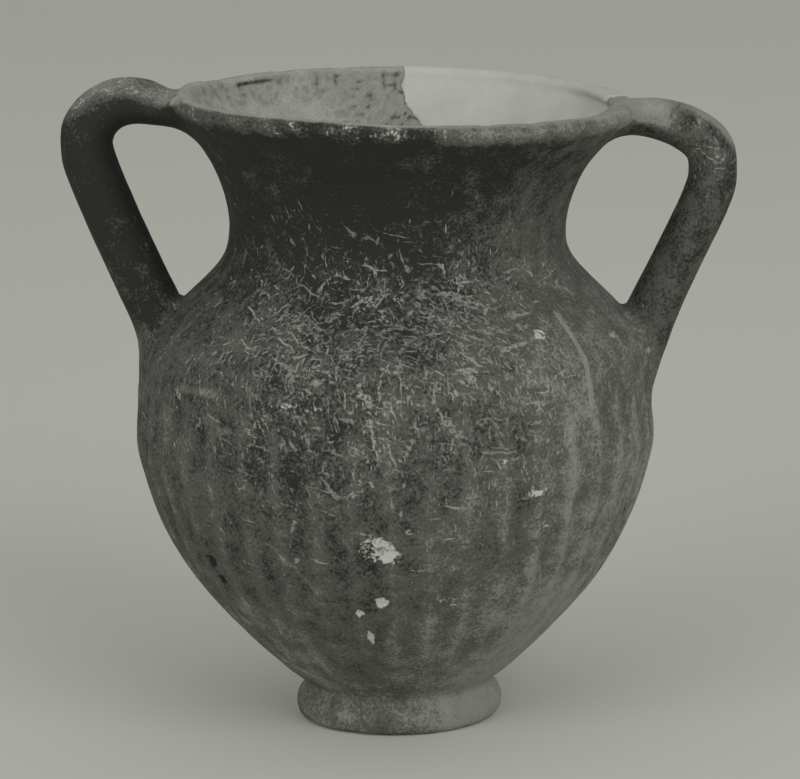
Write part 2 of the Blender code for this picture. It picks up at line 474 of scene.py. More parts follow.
@dataclass(frozen=True)
class SlippedPottery:
    """Earthenware with a fired dark slip: dull grey-black, worn paler, etched by roots, limed in places,
    with painted light and shade in its tone.
    """

    name: str = "slipped_earthenware"
    roughness: float = 0.82
    ior: float = 1.5
    specular: float = 0.25
    # The coats follow the pale attribute, which carries painted light and shade as well as wear: the darkest
    # coat stands for soot and painted shade, the worn and palest coats for worn slip, bare clay and painted
    # light
    soot_and_shade: str = "#2b2c28"
    slip: str = "#5a5a55"
    worn: str = "#8d8e86"
    pale_clay_and_light: str = "#b6b7ae"
    root: str = "#a9aaa2"
    lime: str = "#cdcec6"
    tone_steps: tuple[float, ...] = (0.0, 0.5, 1.1, 1.9)

    # Uneven slip: broad smoky patches, worn spots, and grit that is drawn coarser than the real one to show
    cloud: Cloud = Cloud(24.0, 2.0)
    blotch: Cloud = Cloud(6.0, 4.0, 11.0)
    grain: Cloud = Cloud(0.9, 2.0, 23.0)
    cloud_weight: float = 0.7
    blotch_weight: float = 1.1
    grain_weight: float = 1.2
    ridge_weight: float = 0.24
    calm_zone: tuple[float, float] = (0.6, 1.4)
    calming: float = 0.45

    # Root marks: threads by lean about X and Y, length and thickness, with finer hairs between them
    bend_mm: float = 3.6
    bend_reach_mm: float = 1.7
    threads: tuple[tuple[float, float, float, float], ...] = (
        (0.3, 0.2, 11.0, 0.85),
        (1.25, 0.35, 9.0, 0.8),
        (0.8, 1.2, 6.0, 0.7),
        (2.0, 0.8, 5.0, 0.7),
        (2.6, 1.5, 3.2, 0.65),
        (1.7, 2.3, 3.2, 0.65),
    )
    thread_edge: tuple[float, float] = (0.88, 0.96)
    thread_growth: float = 0.2
    hair_mm: float = 5.0
    hair_edge: tuple[float, float] = (2.0, 2.5)
    hair_growth: float = 0.5
    hair_strength: float = 0.6
    broken_edge: tuple[float, float] = (0.3, 0.55)
    faded_edge: tuple[float, float] = (0.35, 0.6)
    faded_strength: float = 0.4
    clear_gain: float = 0.35

    # Lime: a chalky crust, solid where it is thick and broken into patches where it is thin
    lime_blotch: float = 1.5
    lime_grain: float = 1.2
    lime_edge: tuple[float, float] = (0.45, 0.85)
    lime_cover: float = 0.9

    relief_mm: float = 0.35
    relief_blotch: float = 0.8

    def toned(self, brush: Brushwork, cloud: Socket, blotch: Socket, grain: Socket) -> Socket:
        """Colours the slip, from sooty black over worn grey to the pale bare clay, and with them the painted
        shade and painted light that the pale attribute carries.

        Args:
            brush: what the material is built with.
            cloud: soft noise, many finger widths across.
            blotch: noise the size of a worn patch.
            grain: noise the size of the clay's grit.

        Returns:
            The colour.
        """
        pale = brush.add("Attribute", (), "Fac", attribute_name="pale")
        ridge = brush.add("Attribute", (), "Fac", attribute_name="ridge")
        parts = (
            (cloud, 0.5, self.cloud_weight),
            (blotch, 0.5, self.blotch_weight),
            (grain, 0.5, self.grain_weight),
            (ridge, PLAIN_RIDGE, self.ridge_weight),
        )
        uneven = brush.weighed(0.0, parts)
        calm = brush.add("MapRange", (pale, *self.calm_zone), interpolation_type="SMOOTHSTEP")
        calm = brush.add("Math", (calm, -self.calming, 1.0), operation="MULTIPLY_ADD")
        tone = brush.add("Math", (uneven, calm, pale), operation="MULTIPLY_ADD")
        coats = zip(self.tone_steps, self.tone_steps[1:], (self.slip, self.worn, self.pale_clay_and_light))
        return brush.coated(self.soot_and_shade, tone, coats)

    def rooted(self, brush: Brushwork, cloud: Socket, grain: Socket) -> Socket:
        """Draws the marks that roots etched: short straight threads that cross, and fine hairs between.

        Args:
            brush: what the material is built with.
            cloud: soft noise that fades the marks in places.
            grain: fine noise that breaks them up.

        Returns:
            How strong the marks are.
        """
        dense = brush.add("Attribute", (), "Fac", attribute_name="roots")
        bent = brush.wandered(self.bend_mm, self.bend_reach_mm)
        threads: object = 0.0
        for *lean, length, thickness in self.threads:
            sheets = brush.sheets(lean, length, thickness, bent)
            threads = brush.add("Math", (threads, sheets), operation="MAXIMUM")
        threads = brush.lines(threads, self.thread_edge, dense, self.thread_growth)
        hairs = brush.lines(brush.branches(self.hair_mm, bent), self.hair_edge, dense, self.hair_growth)
        hairs = brush.add("Math", (hairs, self.hair_strength), operation="MULTIPLY")
        marks = brush.add("Math", (threads, hairs), operation="MAXIMUM")
        whole = brush.add("MapRange", (grain, *self.broken_edge), interpolation_type="SMOOTHSTEP")
        marks = brush.add("Math", (marks, whole), operation="MULTIPLY")
        clear = brush.add("MapRange", (cloud, *self.faded_edge), interpolation_type="SMOOTHSTEP")
        clear = brush.add("Math", (clear, self.clear_gain, self.faded_strength), operation="MULTIPLY_ADD")
        return brush.add("Math", (marks, clear), operation="MULTIPLY")

    def limed(self, brush: Brushwork, blotch: Socket, grain: Socket) -> Socket:
        """Draws the lime that clings to the surface.

        Args:
            brush: what the material is built with.
            blotch: noise the size of a worn patch.
            grain: noise the size of the clay's grit.

        Returns:
            How far the lime covers the slip.
        """
        lime = brush.add("Attribute", (), "Fac", attribute_name="lime")
        ragged = brush.weighed(lime, ((blotch, 0.5, self.lime_blotch), (grain, 0.5, self.lime_grain)))
        crust = brush.add("MapRange", (ragged, *self.lime_edge), interpolation_type="SMOOTHSTEP")
        return brush.add("Math", (crust, self.lime_cover), operation="MULTIPLY")

    def dressed(self) -> bpy.types.Material:
        """Builds the material.

        Returns:
            The material, which reads the attributes pale, roots, lime and ridge.
        """
        brush = Brushwork(self.name, self.roughness, self.specular)
        brush.shader.inputs["IOR"].default_value = self.ior
        cloud, blotch, grain = (brush.clouded(noise) for noise in (self.cloud, self.blotch, self.grain))
        colour = self.toned(brush, cloud, blotch, grain)
        etched = {0: self.rooted(brush, cloud, grain), 6: colour, 7: linear(self.root)}
        colour = brush.add("Mix", etched, 2, data_type="RGBA")
        crusted = {0: self.limed(brush, blotch, grain), 6: colour, 7: linear(self.lime)}
        colour = brush.add("Mix", crusted, 2, data_type="RGBA")
        height = brush.add("Math", (blotch, self.relief_blotch, grain), operation="MULTIPLY_ADD")
        return brush.finish(colour, height, self.relief_mm)


@dataclass(frozen=True)
class RepairPlaster:
    """Gypsum plaster, cast and rubbed down: chalky off-white, all but even, quite matt.

    Its grain is drawn coarser than the real one, so that it shows.
    """

    name: str = "gypsum_plaster"
    roughness: float = 0.9
    specular: float = 0.2
    cast: str = "#bcbdb5"
    rubbed: str = "#c5c6be"
    rubbed_edge: tuple[float, float] = (0.5, 0.8)
    cloud: Cloud = Cloud(18.0, 4.0)
    grain: Cloud = Cloud(0.7, 3.0, 5.0)
    grain_weight: float = 0.3
    relief_mm: float = 0.08

    def dressed(self) -> bpy.types.Material:
        """Builds the material.

        Returns:
            The material.
        """
        brush = Brushwork(self.name, self.roughness, self.specular)
        grain = brush.clouded(self.grain)
        parts = (grain, self.grain_weight, brush.clouded(self.cloud))
        tone = brush.add("Math", parts, operation="MULTIPLY_ADD")
        colour = brush.coated(self.cast, tone, [(*self.rubbed_edge, self.rubbed)])
        return brush.finish(colour, grain, self.relief_mm)


@dataclass(frozen=True)
class PaleFloor:
    """Matt pale card that the jar stands on: even, without sheen."""

    name: str = "matt_card"
    roughness: float = 0.9
    specular: float = 0.1
    colour: str = "#d8dad1"

    def dressed(self) -> bpy.types.Material:
        """Builds the material.

        Returns:
            The material.
        """
        brush = Brushwork(self.name, self.roughness, self.specular)
        brush.shader.inputs["Base Color"].default_value = linear(self.colour)
        return brush.material


@dataclass(frozen=True)
class JarForm:
    """The thrown shape: outline, leaning axis, uneven lip and flutes. All sizes in millimetres."""

    foot_x: float = -3.57
    body_shift: float = 0.6
    body_shift_top: float = 40.0
    neck_shift: float = 4.4
    neck_shift_span: tuple[float, float] = (115.0, 195.0)
    rim_height: float = 193.0
    rim_tilt: float = 2.2
    rim_wave: float = 0.35
    rim_ramp: tuple[float, float] = (166.0, 191.0)
    swell_ramp: tuple[float, float] = (178.0, 191.0)
    lip_radius: float = 71.3
    lip_roll: float = 3.4
    wall: float = 5.0
    foot_hollow: float = 29.0
    lip_zone: tuple[float, float] = (174.0, 184.0)
    pad_span: tuple[float, float] = (math.radians(18.0), math.radians(42.0))
    pad_square: float = 4.0
    pad_inward: float = 3.0
    pad_start: float = 0.6
    flutes: int = 42
    flute_depth: float = 0.85
    flute_sharpness: float = 0.75
    flute_span: tuple[float, float, float, float] = (17.0, 38.0, 102.0, 113.0)
    flute_front: float = math.radians(-91.3)
    flute_spread: float = math.radians(5.0)
    flute_spread_span: tuple[float, float] = (30.0, 80.0)
    foot: tuple[tuple[float, float], ...] = (
        (0.0, 5.5),
        (14.0, 5.3),
        (21.5, 4.7),
        (24.4, 2.6),
        (26.0, 0.25),
        (27.2, 0.0),
        (29.4, 0.0),
        (30.9, 0.45),
        (32.0, 2.0),
        (32.3, 4.2),
        (32.0, 6.2),
        (31.1, 8.0),
    )
    outline: tuple[tuple[float, float], ...] = (
        (29.8, 11.3),
        (37.5, 18.0),
        (49.7, 30.0),
        (62.5, 45.0),
        (72.4, 62.0),
        (78.3, 79.0),
        (80.0, 92.0),
        (76.9, 115.0),
        (71.4, 125.5),
        (55.4, 142.0),
        (51.8, 152.0),
        (53.6, 164.0),
        (59.4, 176.0),
        (70.1, 188.4),
    )
    floor: tuple[tuple[float, float], ...] = ((0.0, 13.0), (16.0, 14.2), (28.0, 18.6))

    def axis_x(self, height: float) -> float:
        """Where the jar's middle lies at this height: the neck leans towards the right handle."""
        body = self.body_shift * ramp(height, 0.0, self.body_shift_top)
        return self.foot_x + body + self.neck_shift * ramp(height, *self.neck_shift_span)

    def rim_lift(self, angle: float, height: float) -> float:
        """How far the uneven rim lifts a point of the neck.

        Args:
            angle: the angle of the point, in radians.
            height: its height.

        Returns:
            The lift, negative where the rim dips.
        """
        wave = self.rim_wave * (1.0 - math.cos(2.0 * angle)) - self.rim_tilt * math.cos(angle)
        swell = LIP_SWELL.read(math.degrees(math.remainder(angle, math.tau)))
        return wave * ramp(height, *self.rim_ramp) + swell * ramp(height, *self.swell_ramp)

    def flute_share(self, height: float) -> float:
        """How deep the flutes are at this height, from 0 to 1."""
        low, low_full, high_full, high = self.flute_span
        return ramp(height, low, low_full) * (1.0 - ramp(height, high_full, high))

    def groove(self, turn: float) -> float:
        """How deep a flute is at this turn from the front arris, from 0 on an arris to 1 at the bottom."""
        return abs(math.sin(0.5 * self.flutes * turn)) ** self.flute_sharpness

    @property
    def crest(self) -> float:
        """The radius of the top of the lip."""
        return self.lip_radius - self.lip_roll

    def lip_arc(self, steps: int) -> Curve:
        """Draws the rolled lip as half a circle, from its outer side over the top to its inner side.

        Args:
            steps: how many steps the half circle has.

        Returns:
            The points of the lip.
        """
        radius = self.crest
        height = self.rim_height - self.lip_roll
        turns = [math.pi * step / steps for step in range(steps + 1)]
        return [(radius + self.lip_roll * math.cos(t), height + self.lip_roll * math.sin(t)) for t in turns]

    def inner_curve(self) -> Curve:
        """Draws the inside of the wall, from the middle of the floor to the inner side of the lip.

        Returns:
            The curve.
        """
        wall: Curve = []
        for index, (radius, height) in enumerate(self.outline[:-1]):
            before = self.outline[max(index - 1, 0)]
            after = self.outline[min(index + 1, len(self.outline) - 2)]
            along = (after[0] - before[0], after[1] - before[1])
            length = math.hypot(*along)
            step = self.wall / length
            wall.append((radius - step * along[1], height + step * along[0]))
        side = (self.lip_radius - 2.0 * self.lip_roll, self.rim_height - self.lip_roll)
        return curve_through([*self.floor, *wall[2:], side], CURVE_STEPS)

    def outer_curve(self) -> Curve:
        """The outside, from the middle of the underside to where the lip starts."""
        return curve_through([*self.foot, *self.outline, self.lip_arc(1)[0]], CURVE_STEPS)

    @cached_property
    def outer_radii(self) -> list[float]:
        """Reads off how wide the outside is.

        Returns:
            Its radius at each whole millimetre of height.
        """
        curve = [point for point in self.outer_curve() if point[0] >= self.foot_hollow and point[1] > 0.0]
        heights = range(int(self.rim_height) + 1)
        return [min(curve, key=lambda point: abs(point[1] - height))[0] for height in heights]

    def wall_radius(self, height: float) -> float:
        """How wide the outside is at this height."""
        return self.outer_radii[min(max(int(height), 0), int(self.rim_height))]

    def turn_of(self, angle: float, height: float) -> float:
        """Finds the turn of the plainly turned shape that ends at this angle, measured from its front arris.

        Args:
            angle: the angle on the finished jar.
            height: the height.

        Returns:
            The turn.
        """
        spread = self.flute_spread * (1.0 - ramp(height, *self.flute_spread_span))
        turn = angle - self.flute_front
        for _ in range(4):
            turn = angle - self.flute_front - spread * math.sin(2.0 * turn)
        return turn

    def settled(self, point: Vector, fluted: bool) -> Vector:
        """Moves a point of the plainly turned shape to its place on the real, uneven one.

        Args:
            point: the point of the turned shape, around the Z axis.
            fluted: whether the flutes cut it.

        Returns:
            The new place.
        """
        turn = math.atan2(point.y, point.x)
        radius = math.hypot(point.x, point.y)
        height = point.z
        spread = self.flute_spread * (1.0 - ramp(height, *self.flute_spread_span))
        angle = self.flute_front + turn + spread * math.sin(2.0 * turn)
        if fluted:
            radius -= self.flute_depth * self.flute_share(height) * self.groove(turn)
        if height > self.rim_height - self.lip_roll:
            radius, height = self.padded(radius, height, angle)
        x = self.axis_x(height) + radius * math.cos(angle)
        return Vector((x, radius * math.sin(angle), height + self.rim_lift(angle, height)))

    def padded(self, radius: float, height: float, angle: float) -> tuple[float, float]:
        """Squares the rolled lip where the right handle's clay is pressed over it.

        Args:
            radius: how far a point of the roll is from the axis.
            height: its height.
            angle: its direction from the axis.

        Returns:
            The new radius and height.
        """
        near, far = self.pad_span
        share = 1.0 - ramp(abs(math.remainder(angle, math.tau)), near, far)
        across = radius - self.crest
        above = height - (self.rim_height - self.lip_roll)
        away = math.hypot(across, above)
        if share == 0.0 or away == 0.0:
            return radius, height
        powers = [abs(side / away) ** self.pad_square for side in (across, above)]
        corner = sum(powers) ** (-1.0 / self.pad_square)
        grown = 1.0 + share * (corner - 1.0)
        inward = self.pad_inward * max(-across / away, 0.0)
        inward *= share * ramp(above, 0.0, self.pad_start * self.lip_roll)
        return radius + (grown - 1.0) * across - inward, height + (grown - 1.0) * above

    def seat_of(self, point: Vector) -> tuple[float, float]:
        """The angle and the distance of a point from the jar's axis."""
        x = point.x - self.axis_x(point.z)
        return math.atan2(point.y, x), math.hypot(x, point.y)


@dataclass(frozen=True)
class WallSkin:
    """The turned wall as a mesh: its profile is spun round the axis and then settled."""

    form: JarForm
    columns: int = 336
    outer_step: float = 1.6
    lip_steps: int = 10
    neck_step: float = 1.3
    body_step: float = 5.0
    neck_floor: float = 150.0
    plug_rise: float = 14.0
    plug_flare: float = 0.5
    pole: float = 0.01
    weld: float = 0.02

    def profile(self) -> tuple[Curve, int]:
        """Draws the whole profile, from under the foot over the lip to the floor inside.

        Returns:
            The profile, and how many of its points lie on the outside.
        """
        outer = evenly(self.form.outer_curve(), self.outer_step)
        inner = list(reversed(self.form.inner_curve()))
        neck = [point for point in inner if point[1] >= self.neck_floor]
        body = [neck[-1], *(point for point in inner if point[1] < self.neck_floor)]
        inside = [*evenly(neck, self.neck_step), *evenly(body, self.body_step)[1:]]
        lip = self.form.lip_arc(self.lip_steps)
        return [*outer, *lip[1:], *inside[1:]], len(outer)

    def turned(self, name: str, profile: Curve, fluted: int = 0, ring: bool = False) -> bpy.types.Object:
        """Spins a profile into a closed shell and settles it.

        Args:
            name: what to call the object.
            profile: radius and height of each point.
            fluted: how many of the first points the flutes cut.
            ring: whether the last point joins the first, as in a band.

        Returns:
            The shell, in millimetres.
        """
        bm = bmesh.new()
        cut = bm.verts.layers.int.new("fluted")
        verts = [bm.verts.new((radius, 0.0, height)) for radius, height in profile]
        for vert in verts[:fluted]:
            vert[cut] = 1
        ends = [*verts[1:], verts[0]] if ring else verts[1:]
        edges = [bm.edges.new(pair) for pair in zip(verts, ends)]
        bmesh.ops.spin(
            bm,
            geom=[*verts, *edges],
            cent=(0, 0, 0),
            axis=(0, 0, 1),
            angle=math.tau,
            steps=self.columns,
            use_merge=True,
        )
        poles = [vert for vert in bm.verts if math.hypot(vert.co.x, vert.co.y) < self.pole]
        bmesh.ops.remove_doubles(bm, verts=poles, dist=self.weld)
        bmesh.ops.recalc_face_normals(bm, faces=bm.faces)
        for vert in bm.verts:
            vert.co = self.form.settled(vert.co, bool(vert[cut]))
        bm.verts.layers.int.remove(cut)
        return mesh_object(name, bm)

    def whole(self, name: str) -> bpy.types.Object:
        """The whole wall with its flutes, as a closed shell."""
        profile, fluted = self.profile()
        return self.turned(name, profile, fluted=fluted)

    def band(self, name: str, low: float) -> bpy.types.Object:
        """The part of the wall above a height, closed underneath, with no flutes."""
        profile, _ = self.profile()
        return self.turned(name, [point for point in profile if point[1] >= low], ring=True)

    def plug(self, name: str, grow: float) -> bpy.types.Object:
        """Fills the inside of the jar, to trim what would poke into it.

        Args:
            name: what to call the object.
            grow: how much fatter than the hollow it is.

        Returns:
            The plug, in millimetres.
        """
        middle, *wall = evenly(self.form.inner_curve(), self.body_step)
        side = [(radius + grow, height) for radius, height in wall]
        top = self.form.rim_height + self.plug_rise
        return self.turned(name, [middle, *side, (side[-1][0] + self.plug_flare, top), (0.0, top)])


@dataclass(frozen=True)
class Handle:
    """A drawn roll of clay from the lip to the shoulder.

    The path holds x from the middle of the foot, height, half thickness and half width at each
    station. The thickness lies in the plane of the handle, and the width across it.
    """

    name: str
    path: tuple[tuple[float, float, float, float], ...]
    sides: int = 32
    step: float = 1.6

    def stations(self) -> Curve:
        """The path in even steps."""
        return evenly(curve_through(self.path, CURVE_STEPS), self.step)

    def made(self, form: JarForm) -> bpy.types.Object:
        """Extrudes an oval from station to station, with flat ends inside the wall.

        Args:
            form: the jar that it sits on.

        Returns:
            The handle, in millimetres.
        """
        stations = self.stations()
        bm = bmesh.new()
        turn = bm.verts.layers.float.new("turn")
        bmesh.ops.create_circle(bm, cap_ends=False, radius=1.0, segments=self.sides)
        for vert in bm.verts:
            vert[turn] = math.atan2(vert.co.y, vert.co.x)
        ring: list[bmesh.types.BMElem] = [*bm.verts, *bm.edges]
        for index, (x, height, half_thickness, half_width) in enumerate(stations):
            if index:
                edges = [item for item in ring if isinstance(item, bmesh.types.BMEdge)]
                grown = bmesh.ops.extrude_edge_only(bm, edges=edges)["geom"]
                verts = {item for item in grown if isinstance(item, bmesh.types.BMVert)}
                edges = [item for item in grown if isinstance(item, bmesh.types.BMEdge)]
                ring = [*verts, *(edge for edge in edges if verts.issuperset(edge.verts))]
            before = stations[max(index - 1, 0)]
            after = stations[min(index + 1, len(stations) - 1)]
            along = Vector((after[0] - before[0], 0.0, after[1] - before[1])).normalized()
            outward = Vector((-along.z, 0.0, along.x))
            centre = Vector((form.foot_x + x, 0.0, height))
            for vert in ring:
                if isinstance(vert, bmesh.types.BMVert):
                    across = Vector((0.0, half_width * math.sin(vert[turn]), 0.0))
                    vert.co = centre + half_thickness * math.cos(vert[turn]) * outward + across
        bmesh.ops.holes_fill(bm, edges=bm.edges, sides=0)
        bmesh.ops.recalc_face_normals(bm, faces=bm.faces)
        return mesh_object(self.name, bm)


LEFT_HANDLE = Handle(
    "left_handle",
    (
        (-58.0, 189.2, 5.0, 12.5),
        (-66.5, 191.6, 6.0, 12.0),
        (-77.5, 194.0, 7.5, 10.5),
        (-85.4, 191.8, 7.9, 9.8),
        (-90.8, 185.8, 8.4, 9.5),
        (-91.4, 177.5, 8.5, 9.5),
        (-85.2, 160.0, 8.5, 9.5),
        (-76.9, 140.0, 8.5, 9.6),
        (-71.2, 126.5, 8.6, 10.0),
        (-68.9, 114.0, 8.4, 11.0),
        (-70.0, 103.0, 6.5, 9.0),
    ),
)
RIGHT_HANDLE = Handle(
    "right_handle",
    (
        (60.0, 187.0, 4.6, 12.5),
        (69.0, 186.0, 5.4, 12.0),
        (79.5, 185.6, 6.1, 10.5),
        (90.0, 182.6, 7.0, 9.5),
        (97.6, 177.0, 7.6, 9.2),
        (99.6, 169.5, 7.8, 9.2),
        (97.2, 160.0, 7.7, 9.2),
        (87.4, 140.0, 7.7, 9.4),
        (81.5, 128.0, 8.0, 10.0),
        (76.6, 117.0, 8.6, 11.5),
        (73.6, 107.0, 8.0, 11.5),
        (71.5, 98.0, 6.2, 9.0),
    ),
)


@dataclass(frozen=True)
class MouthBreak:
    """The sherd lost from the back of the mouth, as a block with a ragged border.

    Each corner holds x and y from the middle of the mouth, and the height of the underside.
    """

    corners: tuple[tuple[float, float, float], ...] = (
        (40.0, 0.0, 184.0),
        (60.0, 7.5, 185.5),
        (66.0, 10.5, 184.0),
        (71.5, 15.0, 180.0),
        (96.0, 26.0, 171.0),
        (95.0, 50.0, 159.0),
        (84.0, 66.0, 167.0),
        (66.0, 82.0, 157.0),
        (50.0, 90.0, 164.0),
        (32.0, 96.0, 161.0),
        (18.0, 97.0, 173.0),
        (9.0, 96.0, 171.0),
        (0.0, 96.0, 181.0),
        (1.0, 56.0, 182.0),
    )
    hub: tuple[float, float, float] = (18.0, 26.0, 170.0)
    top: float = 212.0
    wall_zone: tuple[float, float] = (52.0, 80.0)
    fine: float = 2.6
    coarse: float = 14.0
    raggedness: float = 2.3
    grain: float = 5.5
    crumble: float = 0.6
    crumb: float = 1.6
    rounds: int = 7

    def too_long(self, edge: bmesh.types.BMEdge, centre: float) -> bool:
        """Says whether an edge of the block needs another point, to be ragged where it meets the wall.

        Args:
            edge: the edge.
            centre: where the middle of the mouth lies.

        Returns:
            Whether it does.
        """
        middle = 0.5 * (edge.verts[0].co + edge.verts[1].co)
        away = math.hypot(middle.x - centre, middle.y)
        near, far = self.wall_zone
        reach = 0.5 * edge.calc_length()
        fine = near - reach < away < far + reach
        return edge.calc_length() > (self.fine if fine else self.coarse)

    def block(self, name: str, form: JarForm, shrink: float) -> bpy.types.Object:
        """Makes the block that the jar loses, or a slightly smaller one for the fill.

        Args:
            name: what to call the object.
            form: the jar that it belongs to.
            shrink: how far every side stands back.

        Returns:
            The block, in millimetres.
        """
        centre = form.axis_x(form.rim_height)
        bm = bmesh.new()
        floor = bm.faces.new([bm.verts.new((centre + x, y, height)) for x, y, height in self.corners])
        grown = bmesh.ops.extrude_face_region(bm, geom=[floor], use_keep_orig=True)["geom"]
        for item in grown:
            if isinstance(item, bmesh.types.BMVert):
                item.co.z = self.top
        hub = bmesh.ops.poke(bm, faces=[floor])["verts"][0]
        hub.co = Vector((centre + self.hub[0], self.hub[1], self.hub[2]))
        bmesh.ops.triangulate(bm, faces=bm.faces)
        for _ in range(self.rounds):
            long = [edge for edge in bm.edges if self.too_long(edge, centre)]
            bmesh.ops.subdivide_edges(bm, edges=long, cuts=1)
            bmesh.ops.triangulate(bm, faces=bm.faces)
        bmesh.ops.recalc_face_normals(bm, faces=bm.faces)
        bm.normal_update()
        for vert in bm.verts:
            bite = self.raggedness * rough(vert.co, self.grain, Seed.BREAK)
            bite += self.crumble * rough(vert.co, self.crumb, Seed.CRUMBS)
            vert.co += (bite - shrink) * vert.normal
        return mesh_object(name, bm)


@dataclass(frozen=True)
class Chip:
    """A place where the surface has broken away or carries a crust, at an angle in degrees and a height.

    The width and tall are half of its size, and it is limed if pale is above 0 and dark if below.
    """

    angle: float
    height: float
    width: float
    tall: float
    depth: float
    pale: float

    def away(self, angle: float, height: float, radius: float, margin: float = 0.0) -> float:
        """How far a point is from the middle of the chip, where 1 is its border.

        Args:
            angle: the angle of the point, in radians.
            height: the height of the point.
            radius: how far the point is from the axis.
            margin: how much larger the chip is taken to be on each side.

        Returns:
            The distance.
        """
        across = arc_from(self.angle, angle, radius) / (self.width + margin)
        return math.hypot(across, (height - self.height) / (self.tall + margin))

    def share(self, point: Vector, angle: float, radius: float) -> float:
        """How much of the chip a point lies in.

        Args:
            point: the place of the point.
            angle: its angle, in radians.
            radius: how far it is from the axis.

        Returns:
            The share, from 0 outside to 1 in its middle, with a ragged border.
        """
        ragged = CHIP_RAGGED * rough(point, CHIP_GRAIN, Seed.CHIP_EDGE)
        away = self.away(angle, point.z, radius) + ragged / self.width
        return 1.0 - ramp(away, *CHIP_BORDER)


@dataclass(frozen=True)
class Ladder:
    """A value that changes smoothly from rung to rung, each a place and the value there."""

    rungs: tuple[tuple[float, float], ...]

    def read(self, place: float) -> float:
        """Reads the value at a place.

        Args:
            place: the height or the angle.

        Returns:
            The value.
        """
        for (low, start), (high, stop) in zip(self.rungs, self.rungs[1:]):
            if place < high:
                return start + (stop - start) * ramp(place, low, high)
        return self.rungs[-1][1]


# How far the clay of the lip is heaped up, by the angle in degrees
LIP_SWELL = Ladder(
    (
        (-180.0, 1.9),
        (-150.0, 1.8),
        (-115.0, 1.9),
        (-87.0, 1.1),
        (-50.0, 0.9),
        (-18.0, 0.0),
        (146.0, 0.0),
        (165.0, 1.3),
        (180.0, 1.9),
    )
)

# How pale the slip is, by the height on the jar: paler towards the foot, darkest on the neck, where the dark
# band is dark slip and painted shade under the overhanging lip
TONE_AND_NECK_SHADE_BY_HEIGHT = Ladder(
    (
        (0.0, 0.75),
        (12.0, 0.7),
        (30.0, 0.59),
        (75.0, 0.42),
        (110.0, 0.34),
        (128.0, 0.35),
        (142.0, 0.13),
        (156.0, -0.02),
        (172.0, -0.05),
        (186.0, -0.05),
    )
)

# How dense the root marks are, by the height on the jar
ROOTS_BY_HEIGHT = Ladder(
    (
        (0.0, 0.1),
        (45.0, 0.2),
        (75.0, 0.5),
        (105.0, 0.9),
        (138.0, 1.0),
        (160.0, 0.45),
        (174.0, 0.1),
        (187.0, 0.0),
        (190.0, 0.3),
    )
)

# A chip fades out between these shares of its size, and its ragged border stays within the reach
CHIP_BORDER = (0.7, 1.15)
CHIP_RAGGED = 0.7
CHIP_GRAIN = 1.3
CHIP_REACH = 8.0
CHIPS = (
    Chip(angle=-94.8, height=69.6, width=6.6, tall=4.7, depth=0.25, pale=0.66),
    Chip(angle=-91.0, height=67.0, width=3.6, tall=2.6, depth=0.2, pale=0.6),
    Chip(angle=-100.5, height=47.5, width=1.5, tall=1.5, depth=0.5, pale=1.0),
    Chip(angle=-94.3, height=51.3, width=2.6, tall=2.0, depth=0.4, pale=1.0),
    Chip(angle=-98.6, height=38.0, width=1.3, tall=2.6, depth=0.5, pale=0.95),
    Chip(angle=-147.0, height=110.0, width=2.2, tall=3.6, depth=0.0, pale=0.5),
    Chip(angle=-50.5, height=129.0, width=2.6, tall=1.6, depth=0.1, pale=0.75),
    Chip(angle=-142.6, height=59.6, width=1.7, tall=1.8, depth=0.9, pale=-0.8),
    Chip(angle=-142.4, height=53.4, width=1.6, tall=1.5, depth=0.9, pale=-0.8),
    Chip(angle=-22.0, height=69.0, width=1.6, tall=2.4, depth=0.6, pale=-0.5),
    Chip(angle=62.0, height=84.0, width=4.2, tall=3.0, depth=0.25, pale=0.85),
    Chip(angle=101.0, height=44.0, width=2.2, tall=2.8, depth=0.5, pale=0.95),
    Chip(angle=141.0, height=99.0, width=3.4, tall=2.2, depth=0.2, pale=0.8),
    Chip(angle=24.0, height=52.0, width=1.5, tall=2.2, depth=0.7, pale=-0.6),
)


@dataclass(frozen=True)
class Streak:
    """A pale line on the wall through places, from the highest on, each an angle in degrees and a height.

    Pale says how much the slip is worn in it, and lime how much lime lies in it.
    """

    places: tuple[tuple[float, float], ...]
    width: float
    pale: float = 0.0
    lime: float = 0.0

    def share(self, angle: float, height: float, radius: float, ragged: float) -> float:
        """How much of the streak a point lies in.

        Args:
            angle: the angle of the point, in radians.
            height: the height of the point.
            radius: how far the point is from the axis.
            ragged: widens or narrows the streak, in millimetres.

        Returns:
            The share, from 0 outside to 1 in its middle.
        """
        spots = [(arc_from(turn, angle, radius), height - level) for turn, level in self.places]
        nearest = math.inf
        for (ax, az), (bx, bz) in zip(spots, spots[1:]):
            dx, dz = ax - bx, az - bz
            along = min(max((ax * dx + az * dz) / (dx * dx + dz * dz), 0.0), 1.0)
            nearest = min(nearest, math.hypot(ax - along * dx, az - along * dz))
        return 1.0 - ramp(nearest + ragged, *(edge * self.width for edge in STREAK_BORDER))


